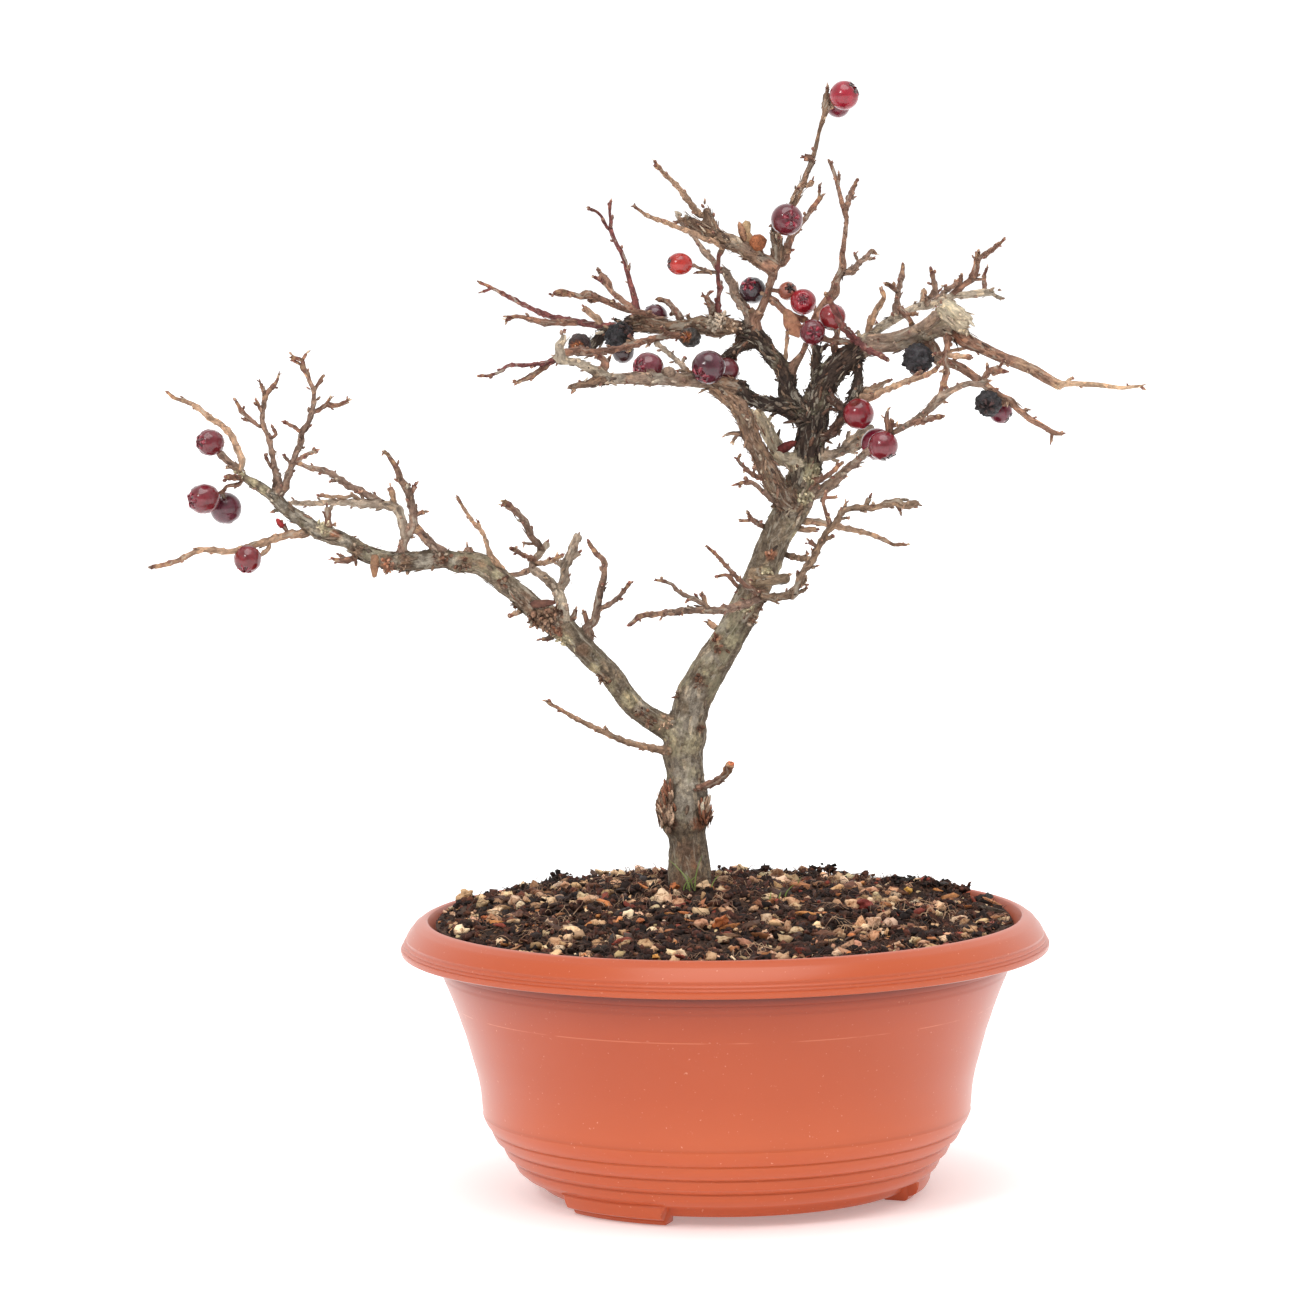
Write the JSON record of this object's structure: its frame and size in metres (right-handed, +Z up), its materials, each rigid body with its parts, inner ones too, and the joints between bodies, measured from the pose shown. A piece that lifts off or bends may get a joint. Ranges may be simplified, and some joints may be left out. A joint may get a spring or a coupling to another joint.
{
  "type": "potted bonsai tree",
  "caption": "Small cotoneaster bonsai with a kinked trunk, one long low branch, bare twigs and round berries, standing in a round pot of gritty soil on three feet.",
  "frame": {"origin": "centre of the whole object's bounding box in X and Y, at its base in Z, where the pot's feet stand", "axes": "+Z up along the tree's height; +X to the right as seen from the front, away from the long low branch; +Y to the back"},
  "size_m": [0.3146, 0.2092, 0.3569],
  "materials": {
    "pot": "satin terracotta-coloured plastic",
    "soil": "rough dark peat with grit",
    "tree": "rough bark",
    "berry_01": "waxy, some wrinkled",
    "berry_02": "waxy, some wrinkled",
    "berry_03": "waxy, some wrinkled",
    "berry_04": "waxy, some wrinkled",
    "berry_05": "waxy, some wrinkled",
    "berry_06": "waxy, some wrinkled",
    "berry_07": "waxy, some wrinkled",
    "berry_08": "waxy, some wrinkled",
    "berry_09": "waxy, some wrinkled",
    "berry_10": "waxy, some wrinkled",
    "berry_11": "waxy, some wrinkled",
    "berry_12": "waxy, some wrinkled",
    "berry_13": "waxy, some wrinkled",
    "berry_14": "waxy, some wrinkled",
    "berry_15": "waxy, some wrinkled",
    "berry_16": "waxy, some wrinkled",
    "berry_17": "waxy, some wrinkled",
    "berry_18": "waxy, some wrinkled",
    "berry_19": "waxy, some wrinkled",
    "berry_20": "waxy, some wrinkled",
    "berry_21": "waxy, some wrinkled",
    "berry_22": "waxy, some wrinkled",
    "berry_23": "waxy, some wrinkled",
    "berry_24": "waxy, some wrinkled",
    "berry_25": "waxy, some wrinkled",
    "berry_26": "waxy, some wrinkled",
    "berry_27": "waxy, some wrinkled",
    "dry_leaf_01": "dry and papery",
    "dry_leaf_02": "dry and papery",
    "dry_leaf_03": "dry and papery",
    "dry_leaf_04": "dry and papery"
  },
  "bodies": {
    "root": {"pot": "pot", "soil": "soil", "tree": "tree", "berry_01": "berry_01", "berry_02": "berry_02", "berry_03": "berry_03", "berry_04": "berry_04", "berry_05": "berry_05", "berry_06": "berry_06", "berry_07": "berry_07", "berry_08": "berry_08", "berry_09": "berry_09", "berry_10": "berry_10", "berry_11": "berry_11", "berry_12": "berry_12", "berry_13": "berry_13", "berry_14": "berry_14", "berry_15": "berry_15", "berry_16": "berry_16", "berry_17": "berry_17", "berry_18": "berry_18", "berry_19": "berry_19", "berry_20": "berry_20", "berry_21": "berry_21", "berry_22": "berry_22", "berry_23": "berry_23", "berry_24": "berry_24", "berry_25": "berry_25", "berry_26": "berry_26", "berry_27": "berry_27", "dry_leaf_01": "dry_leaf_01", "dry_leaf_02": "dry_leaf_02", "dry_leaf_03": "dry_leaf_03", "dry_leaf_04": "dry_leaf_04"}
  },
  "joints": []
}
